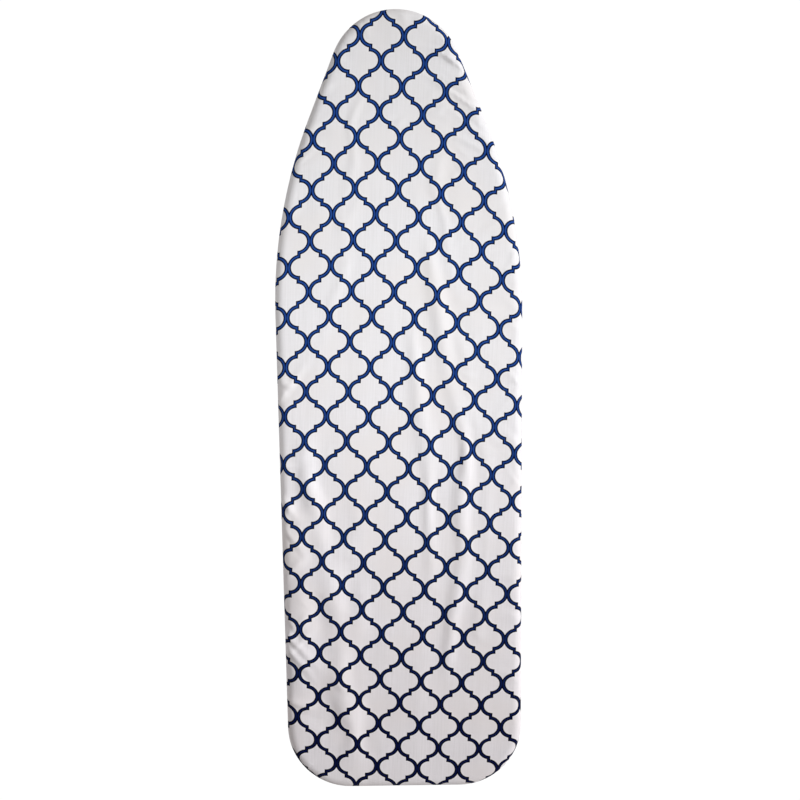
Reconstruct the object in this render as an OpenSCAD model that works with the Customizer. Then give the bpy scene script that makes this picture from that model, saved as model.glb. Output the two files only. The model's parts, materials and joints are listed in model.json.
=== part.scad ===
// Full-size ironing board: a vented steel top with pad and elasticated cover, on two crossed
// tube legs. The outer legs hinge on the top. The inner legs carry a carriage that slides on a
// guide rod under the top, where a tilting jam plate locks it at any height.
// X runs along the board with the nose at +X, Z is up, and the floor is Z = 0 with the origin
// under the middle of the top. All sizes are in millimetres.

/* [Top] */
// Length of the covered top
board_l = 1226; // [1150:1:1300]
// Width of the covered top at the shoulder
board_w = 385; // [340:1:410]
// Radius of the nose
nose_r = 102; // [90:1:115]
// Radius of the two tail corners
corner_r = 100; // [60:1:120]
// Thickness of the pad
pad_t = 8; // [4:0.5:12]
// Distance between neighbouring vent holes
vent_pitch = 44; // [40:1:60]
// Radius of a vent hole
vent_r = 5.5; // [4:0.5:7]

/* [Legs] */
// Leg length from the top pivot to the crossing
leg_upper = 480; // [440:1:490]
// Leg length from the crossing to the foot bar
leg_lower = 600; // [540:1:610]
// Angle between the legs and the floor when open
open_angle = 50; // [40:0.5:54]
// Outer diameter of the leg tubes
leg_d = 22; // [18:0.5:24]
// Outer diameter of the foot bars
bar_d = 25; // [22:0.5:28]
// Width over the rubber foot caps
foot_w = 356; // [320:2:372]

/* [Carriage] */
// Diameter of the guide rod
guide_d = 10; // [8:0.5:10]
// Angle through which the release lever tilts the jam plate
lever_tilt = 10; // [6:0.5:10]

/* [Hidden] */
$fn = 48;

// Colours
fabric_white = "ghostwhite";
steel_grey = "silver";
zinc = "lightgray";
rubber_black = "#202124";
nylon_white = "whitesmoke";
navy = "#1d2f5e";

// Outline of the covered top
half_w = board_w / 2;
flank_angle = 22;        // the nose's straight flanks against the long axis
tail_taper = 0.44;       // how far each long side leans in towards the tail, in degrees
shoulder_r = 780;
arc_step = 4;            // degrees between the points of an arc
nose_x = board_l / 2 - nose_r;
shoulder_y = half_w - shoulder_r;
shoulder_x = nose_x + (nose_r - shoulder_r - shoulder_y * cos(flank_angle)) / sin(flank_angle);
corner_x = corner_r - board_l / 2;
corner_y = shoulder_y + shoulder_r - corner_r
    - (shoulder_x - corner_x) * tan(tail_taper);

// Levels
cap_r = 16;
foot_axis_z = 14;        // a foot cap is cut 2 mm flat where it stands
axis_z = foot_axis_z + (leg_upper + leg_lower) * sin(open_angle);
axis_drop = 39;          // from the plate's underside down to the hinge axis
plate_t = 0.8;
cover_t = 1.2;
plate_z = axis_z + axis_drop;
pad_z = plate_z + plate_t;
top_z = pad_z + pad_t + cover_t;
rim_h = 20;
rim_inset = 2.5;
rim_wall = 1.5;
rim_flange = 12;
rim_z = plate_z - rim_h;
pad_inset = 1.3;
hem_reach = 16;          // how far the cover is turned in under the rim
binding_w = 30;          // the binding carries on inwards from there
binding_t = 3;
binding_wall = 0.6;
elastic_w = 6;
rib_w = 24;
rib_h = 10;
rib_t = 1.2;
ribs = [[-400, 165], [-200, 165], [0, 165], [200, 158], [400, 112]];  // place and half length

// Legs
tube_wall = 1.2;
outer_y = 96;
inner_y = 65;
pin_r = 4;
run_gap = 0.08;          // a running bore is this much larger in radius
fixed_gap = 0.04;        // and a fixed one this much
tube_end = 14;           // tube beyond its top pivot
hinge_x = -480;
top_gap = 2 * leg_upper * cos(open_angle);
carriage_x = hinge_x + top_gap;
leg_l = leg_upper + leg_lower;
bar_wall = 1.5;
bar_half = foot_w / 2 - 26;
cap_l = 46;
brace_at = leg_upper + 300;
brace_d = 16;

// Hinge brackets
ear_t = 2;
ear_gap = 24.8;
ear_r = 13;
bracket_l = 60;
bracket_w = ear_gap + 2 * ear_t;
rivet_r = 2.5;
rivet_head_r = 4.5;
rivet_head_h = 2;

// Guide rod and its brackets
guide_z = axis_z + 17;
guide_rear_x = 70;
guide_front_x = 530;
guide_web = 3;
guide_foot = 24;
guide_half_w = 20;

// Carriage and lever, measured from the carriage axle
block_l = 44;
block_w = 56;
block_top = 27.5;
block_r = 13;
bush_r = 9;
bush_l = 14;
bush_flange_r = 11;
bush_flange_t = 1.5;
cheek_t = 6;
lever_px = -34;          // the lever's pivot pin
lever_pz = -3;
lever_pin_r = 3;
jam_t = 3;
jam_w = 36;
jam_h = 30;
jam_hole_r = guide_d / 2 + 0.65;
jam_hole_z = 20.15;      // a little over 20, so that the hole clears the rod at both ends of the tilt
tongue_l = 78;
tongue_w = 30;
grip_l = 52;

// Spring
spring_r = 7.6;
spring_wire = 0.8;
spring_from = -24.4;
spring_to = -34.0;
spring_turns = 4;
spring_sides = 8;
spring_steps = 20;       // rings in one turn

// Points of the top's outline, drawn in from the cover's edge by inset
function arc(cx, cy, r, a0, a1) =
    let (n = ceil((a1 - a0) / arc_step))
    [for (k = [0:n]) let (a = a0 + (a1 - a0) * k / n) [cx + r * cos(a), cy + r * sin(a)]];
function half_outline(inset) = concat(
    arc(nose_x, 0, nose_r - inset, 0, 90 - flank_angle),
    arc(shoulder_x, shoulder_y, shoulder_r - inset, 90 - flank_angle, 90 + tail_taper),
    arc(corner_x, corner_y, corner_r - inset, 90 + tail_taper, 180)
);
function outline(inset) =
    let (upper = half_outline(inset), n = len(upper))
    concat(upper, [for (k = [n - 1:-1:1]) [upper[k][0], -upper[k][1]]]);

// A flat ring or plate that follows the outline
module slab(inset, z, h) {
    translate([0, 0, z]) linear_extrude(h) polygon(outline(inset));
}
module ring(outer, inner, z, h) {
    translate([0, 0, z]) linear_extrude(h) difference() {
        polygon(outline(outer));
        polygon(outline(inner));
    }
}

// A rod or tube along Y, from y0 to y1 about the children's origin
module rod_y(r, y0, y1) {
    translate([0, y0, 0]) rotate([-90, 0, 0]) cylinder(r = r, h = y1 - y0);
}
module sleeve_y(r, bore, y0, y1) {
    difference() {
        rod_y(r, y0, y1);
        rod_y(bore, y0 - 1, y1 + 1);
    }
}
module rod_x(r, x0, x1) {
    translate([x0, 0, 0]) rotate([0, 90, 0]) cylinder(r = r, h = x1 - x0);
}
module sleeve_x(r, bore, x0, x1) {
    difference() {
        rod_x(r, x0, x1);
        rod_x(bore, x0 - 1, x1 + 1);
    }
}
// A dome on z = 0, of radius r and height h
module dome(r, h) {
    ball_r = (r * r + h * h) / (2 * h);
    rotate_extrude() intersection() {
        translate([0, h - ball_r]) circle(ball_r);
        square([r, h]);
    }
}
module both_sides() {
    children();
    mirror([0, 1, 0]) children();
}

// Frames for what is made along a leg: X' runs from the top pivot towards the foot
module on_outer_leg() {
    translate([hinge_x, 0, axis_z]) rotate([0, open_angle, 0]) children();
}
module on_inner_leg() {
    translate([carriage_x, 0, axis_z]) mirror([1, 0, 0]) rotate([0, open_angle, 0]) children();
}
module on_carriage() {
    translate([carriage_x, 0, axis_z]) children();
}

// ---- The top ----

module cover() {
    color(fabric_white) difference() {
        slab(0, rim_z - cover_t, top_z - rim_z + cover_t);
        slab(cover_t, rim_z, top_z - cover_t - rim_z);
        slab(hem_reach, rim_z - 2 * cover_t, rim_h);
    }
}

// Tape sewn to the cover's edge: flat where it is sewn, then a casing around the elastic
binding_edge = hem_reach + binding_w;
casing_w = elastic_w + 2 * binding_wall;
elastic_t = binding_t - 2 * binding_wall;
module hem_binding() {
    color("white") difference() {
        union() {
            ring(hem_reach, binding_edge, rim_z - cover_t, cover_t);
            ring(binding_edge - casing_w, binding_edge, rim_z - cover_t, binding_t);
        }
        ring(binding_edge - casing_w + binding_wall, binding_edge - binding_wall,
            rim_z - cover_t + binding_wall, elastic_t);
    }
}

module hem_elastic() {
    color("ivory") ring(binding_edge - casing_w + binding_wall, binding_edge - binding_wall,
        rim_z - cover_t + binding_wall, elastic_t);
}

module pad() {
    color("gainsboro") slab(pad_inset, pad_z, pad_t);
}

// Half width of the outline drawn in by inset, at a place along the board
function half_width(x, inset) =
    x > nose_x + (nose_r - inset) * sin(flank_angle)
        ? sqrt(max(0, pow(nose_r - inset, 2) - pow(x - nose_x, 2)))
    : x > shoulder_x + (shoulder_r - inset) * sin(flank_angle)
        ? (nose_r - inset - (x - nose_x) * sin(flank_angle)) / cos(flank_angle)
    : x > shoulder_x
        ? shoulder_y + sqrt(pow(shoulder_r - inset, 2) - pow(x - shoulder_x, 2))
    : x > corner_x
        ? corner_y + corner_r - inset + (x - corner_x) * tan(tail_taper)
    : corner_y + sqrt(max(0, pow(corner_r - inset, 2) - pow(x - corner_x, 2)));

vent_margin = 26;        // from the cover's edge to the middle of a hole
vent_row_gap = vent_pitch / 2;
module vent_holes() {
    for (row = [-floor(half_w / vent_row_gap):floor(half_w / vent_row_gap)])
        for (col = [-floor(board_l / 2 / vent_pitch):floor(board_l / 2 / vent_pitch)]) {
            x = (col + (row % 2 == 0 ? 0 : 0.5)) * vent_pitch;
            y = row * vent_row_gap;
            inside = abs(x) < board_l / 2 - vent_margin && abs(y) < half_width(x, vent_margin);
            if (inside) translate([x, y]) circle(vent_r);
        }
}

module rivet_places() {
    both_sides() for (dx = [-22, 22]) for (dy = [-7, 7])
        translate([hinge_x + dx, outer_y + dy, 0]) children();
    for (x = [guide_rear_x - guide_foot / 2, guide_front_x + guide_foot / 2])
        for (dy = [-13, 13]) translate([x, dy, 0]) children();
}

module steam_plate() {
    color(zinc) translate([0, 0, plate_z]) linear_extrude(plate_t) difference() {
        polygon(outline(rim_inset));
        vent_holes();
        rivet_places() circle(rivet_r);
    }
}

module rim_channel() {
    color(steel_grey) union() {
        ring(rim_inset, rim_inset + rim_wall, rim_z, rim_h);
        ring(rim_inset, rim_inset + rim_flange, plate_z - rim_wall, rim_wall);
        ring(rim_inset, rim_inset + rim_flange, rim_z, rim_wall);
    }
}

module cross_ribs() {
    color(steel_grey) for (rib = ribs)
        translate([rib[0], rib[1], plate_z]) rotate([90, 0, 0]) linear_extrude(2 * rib[1])
            polygon([
                [-rib_w / 2, 0], [-rib_w / 2 + rib_t, 0],
                [-rib_w / 4 + rib_t, rib_t - rib_h], [rib_w / 4 - rib_t, rib_t - rib_h],
                [rib_w / 2 - rib_t, 0], [rib_w / 2, 0],
                [rib_w / 4, -rib_h], [-rib_w / 4, -rib_h]
            ]);
}

// Clevis riveted under the plate, with a bore in each ear
module ear_profile() {
    difference() {
        union() {
            circle(ear_r);
            polygon([[-bracket_l / 2, axis_drop], [bracket_l / 2, axis_drop],
                [bracket_l / 2, axis_drop - 8], [ear_r, 0], [-ear_r, 0],
                [-bracket_l / 2, axis_drop - 8]]);
        }
        circle(pin_r + fixed_gap);
    }
}
module hinge_bracket_at(y) {
    translate([hinge_x, y, axis_z]) {
        for (side = [-1, 1]) translate([0, side * (ear_gap + ear_t) / 2 + ear_t / 2, 0])
            rotate([90, 0, 0]) linear_extrude(ear_t) ear_profile();
        difference() {
            translate([-bracket_l / 2, -ear_gap / 2, axis_drop - ear_t])
                cube([bracket_l, ear_gap, ear_t]);
            for (dx = [-22, 22]) for (dy = [-7, 7])
                translate([dx, dy, 0]) cylinder(r = rivet_r, h = 2 * axis_drop);
        }
    }
}
module hinge_bracket_left() {
    color(zinc) hinge_bracket_at(outer_y);
}
module hinge_bracket_right() {
    color(zinc) hinge_bracket_at(-outer_y);
}

pin_out = outer_y + bracket_w / 2;
pin_in = outer_y - bracket_w / 2;
pin_head_t = 2;
clip_t = 1.5;
module hinge_pins() {
    color(zinc) both_sides() translate([hinge_x, 0, axis_z]) {
        rod_y(pin_r, pin_in - pin_head_t, pin_out + 4);
        rod_y(7, pin_in - pin_head_t, pin_in);
    }
}
module hinge_pin_clips() {
    color("dimgray") both_sides() translate([hinge_x, 0, axis_z])
        sleeve_y(7.5, pin_r + fixed_gap, pin_out + 0.4, pin_out + 0.4 + clip_t);
}

module guide_rod() {
    color("gainsboro") translate([0, 0, guide_z])
        rod_x(guide_d / 2, guide_rear_x - 8, guide_front_x + 8);
}

// Angle bracket that holds one end of the guide rod. Its foot points away from the carriage.
module guide_bracket(x, away) {
    translate([x, 0, 0]) {
        difference() {
            translate([min(0, -away * guide_web), -guide_half_w, guide_z - 12])
                cube([guide_web, 2 * guide_half_w, plate_z - guide_z + 12]);
            translate([0, 0, guide_z]) rod_x(guide_d / 2 + fixed_gap, -10, 10);
        }
        difference() {
            translate([min(0, away * guide_foot), -guide_half_w, plate_z - ear_t])
                cube([guide_foot, 2 * guide_half_w, ear_t]);
            for (dy = [-13, 13]) translate([away * guide_foot / 2, dy, plate_z - 10])
                cylinder(r = rivet_r, h = 20);
        }
    }
}
module guide_bracket_front() {
    color(zinc) guide_bracket(guide_front_x, 1);
}
module guide_bracket_rear() {
    color(zinc) guide_bracket(guide_rear_x, -1);
}

module guide_rod_clips() {
    color("dimgray") translate([0, 0, guide_z]) {
        sleeve_x(8.5, guide_d / 2 + fixed_gap, guide_front_x + 0.4, guide_front_x + 0.4 + clip_t);
        sleeve_x(8.5, guide_d / 2 + fixed_gap, guide_rear_x - 0.4 - clip_t, guide_rear_x - 0.4);
    }
}

module bracket_rivets() {
    color("gainsboro") rivet_places() translate([0, 0, plate_z - ear_t]) {
        cylinder(r = rivet_r - fixed_gap, h = ear_t + plate_t);
        mirror([0, 0, 1]) dome(rivet_head_r, rivet_head_h);
    }
}

// ---- Parts that both pairs of legs share ----

module leg_tube(y) {
    difference() {
        translate([0, y, 0]) rod_x(leg_d / 2, -tube_end, leg_l);
        translate([0, y, 0]) rod_x(leg_d / 2 - tube_wall, -tube_end - 1, leg_l + 1);
        for (x = [0, leg_upper]) translate([x, 0, 0])
            rod_y(pin_r + run_gap, y - leg_d, y + leg_d);
        translate([leg_l, 0, 0]) rod_y(bar_d / 2, y - leg_d, y + leg_d);
    }
}

module tube_plugs(y) {
    both_sides() translate([-tube_end, y, 0]) {
        rod_x(leg_d / 2 - tube_wall - fixed_gap, 0, tube_end - pin_r - 1.5);
        rod_x(leg_d / 2, -2.5, 0);
    }
}

module foot_bar() {
    translate([leg_l, 0, 0])
        sleeve_y(bar_d / 2, bar_d / 2 - bar_wall, -bar_half, bar_half);
}

// Rubber cap pushed over the end of a foot bar and flat underneath
module foot_cap(x) {
    outer_end = foot_w / 2;
    edge = 3;
    translate([x, 0, foot_axis_z]) difference() {
        translate([0, outer_end - cap_l, 0]) rotate([-90, 0, 0]) rotate_extrude() polygon([
            [0, 0], [cap_r - edge / 2, 0], [cap_r, edge], [cap_r, cap_l - edge],
            [cap_r - edge, cap_l], [0, cap_l]
        ]);
        rod_y(bar_d / 2 + fixed_gap, 0, bar_half);
        translate([-cap_r, 0, -foot_axis_z - cap_r]) cube([2 * cap_r, foot_w, cap_r]);
    }
}

outer_foot_x = hinge_x + leg_l * cos(open_angle);
inner_foot_x = carriage_x - leg_l * cos(open_angle);

// ---- Outer legs ----

module outer_tube_left() {
    color(steel_grey) on_outer_leg() leg_tube(outer_y);
}
module outer_tube_right() {
    color(steel_grey) on_outer_leg() leg_tube(-outer_y);
}
module outer_tube_plugs() {
    color(rubber_black) on_outer_leg() tube_plugs(outer_y);
}
module outer_foot_bar() {
    color(steel_grey) on_outer_leg() foot_bar();
}
module outer_foot_cap_left() {
    color(rubber_black) foot_cap(outer_foot_x);
}
module outer_foot_cap_right() {
    color(rubber_black) mirror([0, 1, 0]) foot_cap(outer_foot_x);
}

washer_gap = (ear_gap - leg_d) / 2;
module hinge_washers() {
    color(nylon_white) both_sides() translate([hinge_x, 0, axis_z])
        for (y = [outer_y - ear_gap / 2, outer_y + leg_d / 2])
            sleeve_y(8, pin_r + run_gap, y + 0.15, y + washer_gap - 0.15);
}

cap_from = outer_y + leg_d / 2 + 0.2;
module cross_axle() {
    color(zinc) on_outer_leg() translate([leg_upper, 0, 0]) rod_y(pin_r, -cap_from - 3, cap_from + 3);
}
module cross_axle_caps() {
    color(rubber_black) on_outer_leg() translate([leg_upper, 0, 0]) both_sides() difference() {
        translate([0, cap_from, 0]) rotate([-90, 0, 0]) dome(10.5, 6);
        rod_y(pin_r + fixed_gap, 0, cap_from + 3.2);
    }
}
module cross_spacers() {
    color(nylon_white) on_outer_leg() translate([leg_upper, 0, 0]) both_sides()
        sleeve_y(10, pin_r + fixed_gap, inner_y + leg_d / 2 + 0.4, outer_y - leg_d / 2);
}

// ---- Inner legs ----

module inner_tube_left() {
    color(steel_grey) on_inner_leg() leg_tube(inner_y);
}
module inner_tube_right() {
    color(steel_grey) on_inner_leg() leg_tube(-inner_y);
}
module inner_tube_plugs() {
    color(rubber_black) on_inner_leg() tube_plugs(inner_y);
}
module inner_foot_bar() {
    color(steel_grey) on_inner_leg() foot_bar();
}
module inner_foot_cap_left() {
    color(rubber_black) foot_cap(inner_foot_x);
}
module inner_foot_cap_right() {
    color(rubber_black) mirror([0, 1, 0]) foot_cap(inner_foot_x);
}
module inner_brace_bar() {
    color(steel_grey) on_inner_leg() difference() {
        translate([brace_at, 0, 0]) sleeve_y(brace_d / 2, brace_d / 2 - tube_wall, -inner_y, inner_y);
        both_sides() translate([0, inner_y, 0]) rod_x(leg_d / 2, brace_at - 50, brace_at + 50);
    }
}
module cross_sleeve() {
    color(nylon_white) on_inner_leg() translate([leg_upper, 0, 0])
        sleeve_y(7, pin_r + run_gap, leg_d / 2 - inner_y + 0.2, inner_y - leg_d / 2 - 0.2);
}

axle_end = inner_y + leg_d / 2 + 3;
module carriage_axle() {
    color(zinc) on_carriage() rod_y(pin_r, -axle_end, axle_end);
}
module carriage_axle_clips() {
    color("dimgray") on_carriage() both_sides()
        sleeve_y(7.5, pin_r + fixed_gap, axle_end - 2.6, axle_end - 2.6 + clip_t);
}
module carriage_spacers() {
    color(nylon_white) on_carriage() both_sides()
        sleeve_y(7, pin_r + fixed_gap, block_w / 2 + 0.3, inner_y - leg_d / 2 - 0.1);
}

// ---- Carriage ----

module block_profile() {
    translate([-block_l / 2, 0]) square([block_l, block_top]);
    circle(block_r);
    translate([-block_l / 2, -8]) square([block_l / 2, 9]);
}
module carriage_block() {
    color("darkslategray") on_carriage() difference() {
        union() {
            translate([0, block_w / 2, 0]) rotate([90, 0, 0]) linear_extrude(block_w) block_profile();
            both_sides() translate([0, block_w / 2, 0]) rotate([90, 0, 0]) linear_extrude(cheek_t)
                union() {
                    translate([lever_px, lever_pz]) circle(9);
                    translate([lever_px, lever_pz - 5]) square([-lever_px - block_l / 2 + 1, 14]);
                }
        }
        rod_y(pin_r + run_gap, -block_w, block_w);
        translate([0, 0, guide_z - axis_z]) rod_x(bush_r + fixed_gap, -block_l, block_l);
        translate([lever_px, 0, lever_pz]) rod_y(lever_pin_r + fixed_gap, -block_w, block_w);
    }
}
module guide_bushes() {
    color(nylon_white) on_carriage() translate([0, 0, guide_z - axis_z]) {
        for (side = [0, 1]) mirror([side, 0, 0]) difference() {
            union() {
                rod_x(bush_r, block_l / 2 - bush_l, block_l / 2);
                rod_x(bush_flange_r, block_l / 2, block_l / 2 + bush_flange_t);
            }
            rod_x(guide_d / 2 + 0.3, 0, block_l);
        }
    }
}
module lever_pin() {
    color(zinc) on_carriage() translate([lever_px, 0, lever_pz]) {
        rod_y(lever_pin_r, -block_w / 2 - 1.5, block_w / 2 + 1.5);
        both_sides() rod_y(5, block_w / 2, block_w / 2 + 1.5);
    }
}

// Coil spring on the guide rod, swept from rings of points
function coil_point(a) = let (k = a / (360 * spring_turns)) [
    spring_from + (spring_to - spring_from) * k,
    spring_r * sin(a),
    spring_r * cos(a)
];
function coil_ring(a) = let (c = coil_point(a)) [
    for (s = [0:spring_sides - 1]) let (b = 360 * s / spring_sides) [
        c[0] + spring_wire * cos(b),
        c[1] + spring_wire * sin(b) * sin(a),
        c[2] + spring_wire * sin(b) * cos(a)
    ]
];
module lock_spring() {
    n = spring_turns * spring_steps;
    points = [for (k = [0:n]) each coil_ring(360 * k / spring_steps)];
    sides = [for (k = [0:n - 1]) for (s = [0:spring_sides - 1]) let (t = (s + 1) % spring_sides) [
        k * spring_sides + s, k * spring_sides + t,
        (k + 1) * spring_sides + t, (k + 1) * spring_sides + s
    ]];
    ends = [
        [for (s = [spring_sides - 1:-1:0]) s],
        [for (s = [0:spring_sides - 1]) n * spring_sides + s]
    ];
    color("silver") on_carriage() translate([0, 0, guide_z - axis_z])
        polyhedron(points, concat(sides, ends));
}

// ---- Release lever, drawn with its jam plate upright and then tilted to where it grips ----

module on_lever() {
    on_carriage() translate([lever_px, 0, lever_pz]) rotate([0, -lever_tilt, 0]) children();
}
barrel_r = 6;
module lock_lever() {
    color("silver") on_lever() difference() {
        union() {
            translate([-jam_t / 2, -jam_w / 2, 0]) cube([jam_t, jam_w, jam_h]);
            rod_y(barrel_r, -jam_w / 2, jam_w / 2);
            translate([-tongue_l, -tongue_w / 2, -barrel_r]) cube([tongue_l, tongue_w, jam_t]);
        }
        rod_y(lever_pin_r + run_gap, -jam_w, jam_w);
        translate([0, 0, jam_hole_z]) rod_x(jam_hole_r, -10, 10);
    }
}
module lever_grip() {
    wall = 2;
    color(navy) on_lever() difference() {
        translate([-tongue_l - wall, -tongue_w / 2 - wall, -barrel_r - wall])
            cube([grip_l, tongue_w + 2 * wall, jam_t + 2 * wall]);
        translate([-tongue_l, -tongue_w / 2, -barrel_r]) cube([tongue_l, tongue_w, jam_t]);
    }
}

cover();
hem_binding();
hem_elastic();
pad();
steam_plate();
rim_channel();
cross_ribs();
hinge_bracket_left();
hinge_bracket_right();
hinge_pins();
hinge_pin_clips();
guide_rod();
guide_bracket_front();
guide_bracket_rear();
guide_rod_clips();
bracket_rivets();
outer_tube_left();
outer_tube_right();
outer_tube_plugs();
outer_foot_bar();
outer_foot_cap_left();
outer_foot_cap_right();
hinge_washers();
cross_axle();
cross_axle_caps();
cross_spacers();
inner_tube_left();
inner_tube_right();
inner_tube_plugs();
inner_foot_bar();
inner_foot_cap_left();
inner_foot_cap_right();
inner_brace_bar();
cross_sleeve();
carriage_axle();
carriage_axle_clips();
carriage_spacers();
carriage_block();
guide_bushes();
lever_pin();
lock_spring();
lock_lever();
lever_grip();
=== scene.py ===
"""Looks for a full-size ironing board: a printed cotton cover over a felt pad, and the folding legs."""
import json
import math

import bmesh
import bpy
import numpy as np
from mathutils import Matrix, Vector


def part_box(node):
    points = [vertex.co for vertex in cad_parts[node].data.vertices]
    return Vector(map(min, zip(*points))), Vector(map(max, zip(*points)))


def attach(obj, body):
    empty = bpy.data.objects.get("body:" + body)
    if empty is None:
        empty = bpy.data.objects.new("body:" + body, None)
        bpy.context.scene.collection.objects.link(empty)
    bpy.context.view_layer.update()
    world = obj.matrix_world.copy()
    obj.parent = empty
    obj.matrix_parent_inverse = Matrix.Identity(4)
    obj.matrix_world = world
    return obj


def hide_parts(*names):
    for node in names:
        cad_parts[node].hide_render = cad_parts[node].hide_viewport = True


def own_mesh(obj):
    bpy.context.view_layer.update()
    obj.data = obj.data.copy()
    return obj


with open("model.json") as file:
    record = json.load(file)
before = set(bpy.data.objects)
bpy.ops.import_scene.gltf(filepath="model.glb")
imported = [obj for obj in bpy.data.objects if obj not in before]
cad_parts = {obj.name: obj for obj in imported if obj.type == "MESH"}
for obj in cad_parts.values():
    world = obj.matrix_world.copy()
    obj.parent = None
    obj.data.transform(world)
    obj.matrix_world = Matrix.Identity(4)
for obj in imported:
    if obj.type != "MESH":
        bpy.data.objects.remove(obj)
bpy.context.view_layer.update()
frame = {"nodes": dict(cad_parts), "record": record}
joints = {joint["name"]: joint for joint in frame["record"]["behaviour"]["joints"]}
MM = 0.001
WHITE = (1.0, 1.0, 1.0, 1.0)

# -------------------- sizes, from the frame where it holds them
cover_low, cover_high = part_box("cover")
binding_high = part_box("hem_binding")[1]
LENGTH = cover_high.x - cover_low.x
HALF_WIDTH = (cover_high.y - cover_low.y) / 2
TOP = cover_high.z
UNDER = cover_low.z
NOSE_R = 102 * MM
CORNER_R = 100 * MM
SHOULDER_R = 780 * MM
FLANK = math.radians(22)                # the edge's slant where the nose meets the shoulders
TAPER = math.radians(0.44)              # the sides' slant from the shoulders to the tail's corners
EDGE_ROUND = 14 * MM                    # how far in from the edge the top begins to fall away
EDGE_DROP = 12 * MM                     # how far it has fallen where the side begins
TURN_R = 4 * MM                         # the cloth's turn under the rim
HEM_INSET = cover_high.x - binding_high.x
HEM_REACH = HEM_INSET + 22 * MM         # how far in under the board the cloth goes
CLOTH_T = 0.5 * MM


# -------------------- numbers and noise

def smooth(low, high, value):
    """0 below low, 1 above high, and a smooth rise between."""
    t = np.clip((value - low) / (high - low), 0, 1)
    return t * t * (3 - 2 * t)


def ripple(x, y, seed):
    """Smooth random heights, about -1 to 1, with features about one unit across."""
    table = np.random.default_rng(seed).uniform(-1, 1, (64, 64))
    x0, y0 = np.floor(x).astype(int), np.floor(y).astype(int)
    fx, fy = x - x0, y - y0
    fx, fy = fx * fx * (3 - 2 * fx), fy * fy * (3 - 2 * fy)
    a, b = table[x0 % 64, y0 % 64], table[(x0 + 1) % 64, y0 % 64]
    c, d = table[x0 % 64, (y0 + 1) % 64], table[(x0 + 1) % 64, (y0 + 1) % 64]
    return (a + (b - a) * fx) + ((c + (d - c) * fx) - (a + (b - a) * fx)) * fy


# -------------------- the outline

def arc(cx, cy, radius, start, stop, steps=240):
    """Points and outward normals along an arc, as rows of x, y, nx, ny."""
    angle = np.linspace(start, stop, steps)
    nx, ny = np.cos(angle), np.sin(angle)
    return np.stack([cx + radius * nx, cy + radius * ny, nx, ny], 1)


def half_outline():
    """The cover's edge from the nose to the middle of the tail, on the +Y side."""
    nose_x = LENGTH / 2 - NOSE_R
    shoulder_y = HALF_WIDTH - SHOULDER_R
    shoulder_x = nose_x + (NOSE_R - SHOULDER_R - shoulder_y * math.cos(FLANK)) / math.sin(FLANK)
    corner_x = CORNER_R - LENGTH / 2
    corner_y = HALF_WIDTH - CORNER_R - (shoulder_x - corner_x) * math.tan(TAPER)
    nose_end, side = math.pi / 2 - FLANK, math.pi / 2 + TAPER
    return np.concatenate([
        arc(nose_x, 0, NOSE_R, 0, nose_end),
        arc(shoulder_x, shoulder_y, SHOULDER_R, nose_end, side),
        arc(corner_x, corner_y, CORNER_R, side, math.pi),
        [[-LENGTH / 2, 0, -1, 0]],
    ])


HALF = half_outline()
HALF_RUN = np.concatenate([[0], np.cumsum(np.hypot(*np.diff(HALF[:, :2], axis=0).T))])


def edge_at(run):
    """The edge's x, y and outward normal at a distance from the nose's tip. A negative one is the -Y side."""
    run = np.asarray(run, float)
    side = np.where(run < 0, -1.0, 1.0)
    x, y, nx, ny = (np.interp(np.abs(run), HALF_RUN, column) for column in HALF.T)
    size = np.hypot(nx, ny)
    return np.stack([x, y * side, nx / size, ny * side / size], 1)


HALF_LENGTH = HALF_RUN[-1]
NOSE_PATCH = 0.095                      # the top's grid has its four corners on the outline:
TAIL_PATCH = HALF_LENGTH - 0.165        # these far round from the nose's tip


# -------------------- meshes

def new_object(name, verts, faces, smooth_shading=True):
    """A linked object from vertices and faces."""
    mesh = bpy.data.meshes.new(name)
    mesh.from_pydata([tuple(v) for v in verts], [], faces)
    mesh.validate()
    made = bpy.data.objects.new(name, mesh)
    bpy.context.collection.objects.link(made)
    if smooth_shading:
        mesh.polygons.foreach_set("use_smooth", [True] * len(mesh.polygons))
    return made


def apply_modifiers(piece):
    """Makes the piece's modifiers part of its mesh."""
    with bpy.context.temp_override(object=piece, active_object=piece, selected_objects=[piece]):
        for modifier in list(piece.modifiers):
            bpy.ops.object.modifier_apply(modifier=modifier.name)


def grid_faces(rows, columns, start=0, closed=False):
    """Quads over a grid of vertices held row by row. A closed grid joins its last column to its first."""
    last = columns if closed else columns - 1
    return [
        (start + r * columns + c, start + (r + 1) * columns + c,
         start + (r + 1) * columns + (c + 1) % columns, start + r * columns + (c + 1) % columns)
        for r in range(rows - 1) for c in range(last)
    ]


ASKEW = (0.31, 0.87, 0.39)              # a direction that no swept path starts along


def sweep(path, radius, sides=10, closed=False):
    """Vertices and faces of a round tube along a path. The radius may change from point to point."""
    path = np.asarray(path, float)
    count = len(path)
    radius = np.broadcast_to(radius, count)
    if closed:
        tangent = np.roll(path, -1, 0) - np.roll(path, 1, 0)
    else:
        tangent = np.gradient(path, axis=0)
    tangent /= np.linalg.norm(tangent, axis=1)[:, None]
    up = np.cross(tangent[0], ASKEW)
    verts = []
    for point, along, r in zip(path, tangent, radius):
        up = up - along * np.dot(up, along)
        up /= np.linalg.norm(up)
        across = np.cross(along, up)
        for k in range(sides):
            a = 2 * math.pi * k / sides
            verts.append(point + r * (math.cos(a) * up + math.sin(a) * across))
    faces = grid_faces(count, sides, closed=True)
    if closed:
        faces += [
            ((count - 1) * sides + k, k, (k + 1) % sides, (count - 1) * sides + (k + 1) % sides)
            for k in range(sides)
        ]
    else:
        faces += [tuple(range(sides))[::-1], tuple((count - 1) * sides + k for k in range(sides))]
    return verts, faces


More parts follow.
